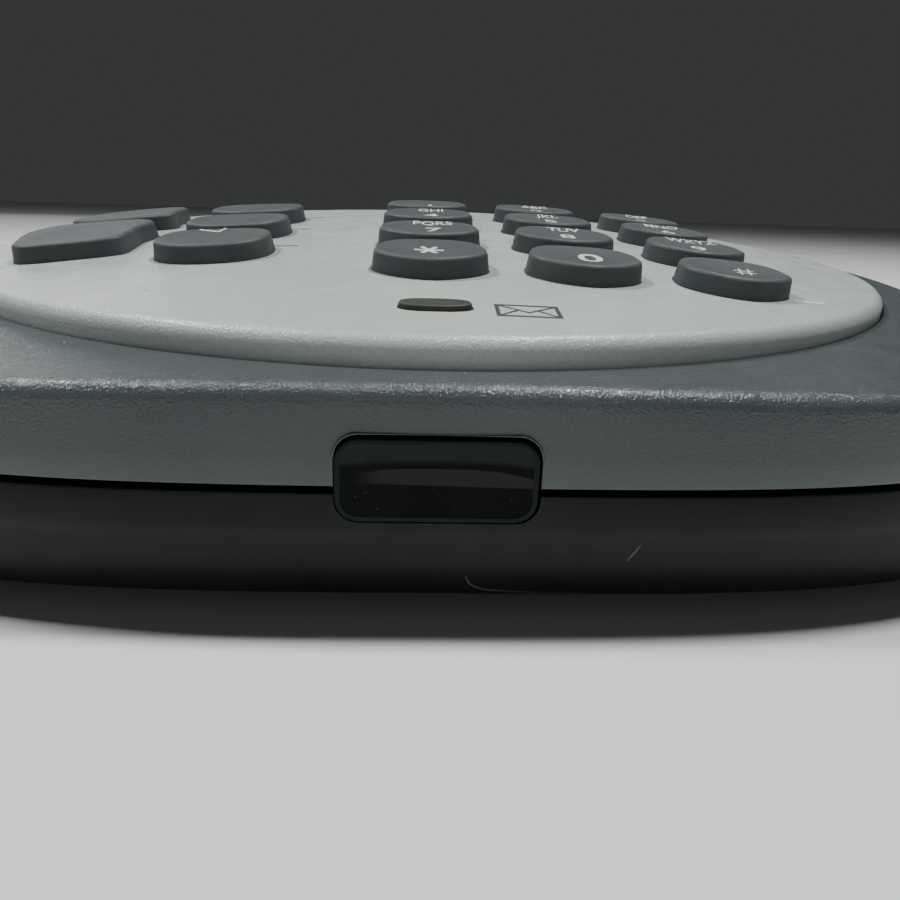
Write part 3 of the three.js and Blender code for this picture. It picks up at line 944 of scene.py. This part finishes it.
def legends(keys, materials):
    """The digits and letters of the dial keys, the star and the hash."""
    groups = ("ABC", "DEF", "GHI", "JKL", "MNO", "PQRS", "TUV", "WXYZ")
    letters = {str(digit): group for digit, group in enumerate(groups, 2)}
    special = {
        "star": [strokes(star_strokes(-0.2, 1.35, 1.55), 0.62)],
        "hash": [flat_text("#", 4.5, 1.4, 1.3, weight=-0.003)],
        "0": [flat_text("0", 5.6, 0.7, 0.9, 1.2)],
    }
    for name, place, shape in keys:
        if not name.startswith("key_"):
            continue
        label = name.removeprefix("key_")
        parts = special.get(label) or [flat_text(label, 4.4, 0.5, 0.4, 1.1)]
        if label in letters:
            parts.append(flat_text(letters[label], 2.5, 0.5, 4.7))
        key_print(f"legend_{label}", place, shape, parts, materials["legend"], name)


def envelope_strokes():
    left, right, front, rear = 6.3, 12.8, -18.3, -14.6
    box = [(left, front), (right, front), (right, rear), (left, rear), (left, front)]
    flap = [(left, rear), (9.6, -17.0), (right, rear)]
    folds = [[(left, front), (8.6, -16.2)], [(right, front), (10.6, -16.2)]]
    return [strokes([box], 0.46), strokes([flap, *folds], 0.34)]


def printed_marks(keys, materials):
    """The prints on the fascia, and the corner of the mark on the front function key."""
    fascia_print("envelope_mark", envelope_strokes(), materials["print"])
    for j in range(3):
        y = 14.6 + j * PITCH_Y
        line = strokes([[(-22.25, y), (-19.3, y - 0.1)]], 0.5)
        fascia_print(f"index_line_{j}", [line], materials["print"])
    dash = strokes([[(45.9, -2.1), (49.0, -1.8)]], 1.05)
    fascia_print("hash_index_line", [dash], materials["faded"])
    speck = strokes([[(-32.74, -8.9), (-32.66, -8.9)]], 0.24)
    fascia_print("ink_speck", [speck], materials["print"])
    name, place, shape = next(key for key in keys if key[0] == "function_key_front")
    speaker = strokes([[(-2.8, 5.1), (-0.1, 4.1), (0.5, 5.5)]], 0.42)
    key_print("speaker_mark", place, shape, [speaker], materials["legend"], name)


# ---- small parts ----
def window_piece(material):
    """The lens sits low and almost flush in its opening, so that the shadow gap shows above it."""
    w = WINDOW
    width, height = w["width"] - 0.26, w["height"] - 0.50
    x, z = w["x"] - 0.09, w["z"] - 0.25
    front = -BODY["depth"] + 0.03
    rounding = [(2.5, 0), (0.22, 0), (0.10, 0.04), (0.03, 0.11), (0.0, 0.22), (0.0, 0.54)]
    pane = [(0.04, 0.60), (0.05, 0.70)]
    places = [(front + y, inset) for y, inset in rounding + pane]
    mesh = front_block("window_lens", width, height, w["radius"], x, z, places)
    layer = mesh.attributes.new("edge", "FLOAT", "POINT")
    count = len(mesh.vertices) // len(places)
    layer.data.foreach_set("value", [1.0] * count * len(rounding) + [0.0] * count * len(pane))
    return link("window_lens", mesh, "console", ["ir_window_lens"], material)


def window_lip_path():
    """The part of the window's outline above the seam, with points at most 0.6 mm apart."""
    w = WINDOW
    outline = rounded_rectangle(w["width"], w["height"], w["radius"])
    seam = face_height(SEAM_UPPER, -BODY["depth"])
    upper = [(x + w["x"], z + w["z"]) for x, z in outline if z + w["z"] > seam + 0.2]
    start = max(range(len(upper)), key=lambda k: (upper[k][0], -upper[k][1]))
    corners = upper[start:] + upper[:start]
    path = []
    for a, b in zip(corners, corners[1:]):
        dx, dz = b[0] - a[0], b[1] - a[1]
        steps = max(1, round(math.hypot(dx, dz) / 0.6))
        path += [(a[0] + dx * k / steps, a[1] + dz * k / steps) for k in range(steps)]
    return [*path, corners[-1]]


def direction(route, k):
    """The unit direction in which a route runs at its point k."""
    a, b = route[max(k - 1, 0)], route[min(k + 1, len(route) - 1)]
    length = math.hypot(b[0] - a[0], b[1] - a[1])
    return (b[0] - a[0]) / length, (b[1] - a[1]) / length


def window_bead(material):
    """The rounded upper lip of the window's opening, a little fuller at the corners."""
    path, sides = window_lip_path(), 8
    rings = []
    for k, (x, z) in enumerate(path):
        run_x, run_z = direction(path, k)
        radius = 0.04 + 0.07 * min(1, abs(x - WINDOW["x"]) / 8) ** 2
        y = front_y(x) + 0.02
        ring = []
        for i in range(sides):
            t = 2 * math.pi * i / sides
            away = radius * math.cos(t)
            ring.append((x + run_z * away, y + radius * math.sin(t), z - run_x * away))
        rings.append(ring)
    return link("window_lip", loft("window_lip", rings, sharp=80), "console", material=material)


def scratch(name, route, width, material):
    """A hair-thin scuff on the housing's front, through (x, z) places."""
    points, faces = [], []
    for k, (x, z) in enumerate(route):
        run_x, run_z = direction(route, k)
        taper = width / 2 * (0.35 + 0.65 * math.sin(math.pi * (k + 0.5) / len(route)))
        for side in (-taper, taper):
            points.append(on_front(x - side * run_z, z + side * run_x))
    for k in range(len(route) - 1):
        faces.append((2 * k, 2 * k + 2, 2 * k + 3, 2 * k + 1))
    return link(name, mesh_of(name, points, faces), "console", material=material)


def front_y(x, inset=0.0):
    """Where the case's front wall, moved inward by inset, stands at x."""
    reach, half, power = BODY["depth"] - inset, BODY["width"] - inset, BODY["front_power"]
    return -reach * (1 - (abs(x) / half) ** power) ** (1 / power)


def on_front(x, z, proud=0.012):
    """A place just proud of the lower housing's front, at x and height z."""
    start = crease(0, -BODY["depth"]) - CREASE_SOFT
    share = min(1, max(0, (start - z) / (start - BELLY_Z)))
    inset = belly_inset(share) if z < start else 0.0
    return x, front_y(x, inset) - proud, z


def arc_route(points, steps=6):
    """A smooth route through a few (x, z) points."""
    route = []
    ends = [points[0], *points, points[-1]]
    for k in range(1, len(ends) - 2):
        for i in range(steps):
            x, z = (spline(i / steps, *values) for values in zip(*ends[k - 1:k + 3]))
            route.append((x, z))
    return [*route, points[-1]]


def spline(u, a, b, c, d):
    """The uniform Catmull-Rom value between b and c."""
    square = (2 * a - 5 * b + 4 * c - d) * u * u
    cube = (3 * b - a - 3 * c + d) * u ** 3
    return 0.5 * (2 * b + (c - a) * u + square + cube)


def scratches(material):
    """Two pale scuffs on the belly, right of the window."""
    long = [(3.0, 5.1), (3.5, 4.0), (4.7, 3.15), (6.7, 2.8), (10.9, 2.5), (17.0, 2.3)]
    scratch("long_scratch", arc_route(long), 0.22, material)
    scratch("short_scratch", arc_route([(19.9, 8.9), (19.4, 8.1), (18.7, 7.1)]), 0.16, material)


def foot_piece(index, x, y, material):
    """A rubber foot, hollowed in the middle of its sole."""
    profile = [(0.35, 2.4), (0.0, 3.2), (0.0, 4.9), (0.25, 5.35), (1.3, 5.9), (2.15, 6.0)]
    rings = [circle(x, y, z, radius) for z, radius in profile]
    name = f"rubber_foot_{index}"
    return link(name + "_soft", loft(name, rings, sharp=35), "console", [name], material)


def table_top():
    floor = Nodes("pale_table")
    tone = floor.ramp(floor.noise(14, 3), 0.3, 0.7)
    floor.finish(floor.mix(tone, (0.64, 0.645, 0.635, 1), (0.70, 0.705, 0.695, 1)), 0.6)
    mesh = bpy.data.meshes.new("table_top")
    mesh.from_pydata([(-3, -2, 0), (3, -2, 0), (3, 4, 0), (-3, 4, 0)], [], [(0, 1, 2, 3)])
    mesh.materials.append(floor.material)
    plane = bpy.data.objects.new("table_top", mesh)
    bpy.context.scene.collection.objects.link(plane)


def studio_light():
    world = bpy.data.worlds.new("studio")
    world.use_nodes = True
    background = world.node_tree.nodes["Background"]
    background.inputs["Color"].default_value = (0.84, 0.90, 0.88, 1)
    background.inputs["Strength"].default_value = 0.05
    bpy.context.scene.world = world
    lamp("ceiling_right", (0.28, 0.10, 1.0), 0.12, 0.12, 11.0)
    lamp("ceiling_left", (-0.60, 0.12, 0.9), 0.12, 0.12, 9.5)
    lamp("rear_window", (-0.9, 1.3, 0.55), 0.7, 0.5, 1.7)
    lamp("room_front", (0.0, -1.5, 0.34), 0.9, 0.3, 1.8)


def lamp(name, place, width, depth, power):
    """A rectangular lamp turned towards the keypad."""
    target = Vector((0, 0, 0.02))
    data = bpy.data.lights.new(name, "AREA")
    data.shape = "RECTANGLE"
    data.size, data.size_y = width, depth
    data.energy = power
    obj = bpy.data.objects.new(name, data)
    obj.location = place
    obj.rotation_euler = (target - Vector(place)).to_track_quat("-Z", "Y").to_euler()
    bpy.context.scene.collection.objects.link(obj)


def finish_carried_over(materials):
    """Gives the CAD nodes that stay in view their detailed materials."""
    chosen = {
        "main_board": "board",
        "dome_sheet": "sheet",
        "ir_transceiver": "window",
        "line_socket": "socket",
        "rating_label": "label",
    }
    for name, node in frame["nodes"].items():
        key = chosen.get(name) or ("steel" if name.startswith("case_screw") else None)
        if key:
            node.data.materials.clear()
            node.data.materials.append(materials[key])


def build():
    make_camera()
    table_top()
    studio_light()
    materials = make_materials()
    keys = key_table()
    shells = [
        ("upper_housing_shell", upper_mesh(), "upper_housing", "blue_grey_case", "upper"),
        ("lower_housing_shell", lower_mesh(), "lower_housing", "charcoal_case", "lower"),
        ("fascia_shell", fascia_mesh(keys), "keypad_fascia", "silver_fascia", "fascia"),
    ]
    for name, mesh, node, slot, material in shells:
        link(name, mesh, "console", [node], materials[material])
    for name, place, shape in keys:
        slot, material = ("bronze_key", "bronze") if name == "message_key" else ("slate_key", "key")
        mesh = placed(key_mesh(name + "_cap", shape), seat(place))
        link(name + "_cap", mesh, name, [name], materials[material])
    legends(keys, materials)
    printed_marks(keys, materials)
    window_piece(materials["window"])
    window_bead(materials["upper"])
    scratches(materials["scuff"])
    for i, (x, y) in enumerate(FOOT_PLACES, 1):
        foot_piece(i, x, y, materials["rubber"])
    finish_carried_over(materials)


build()
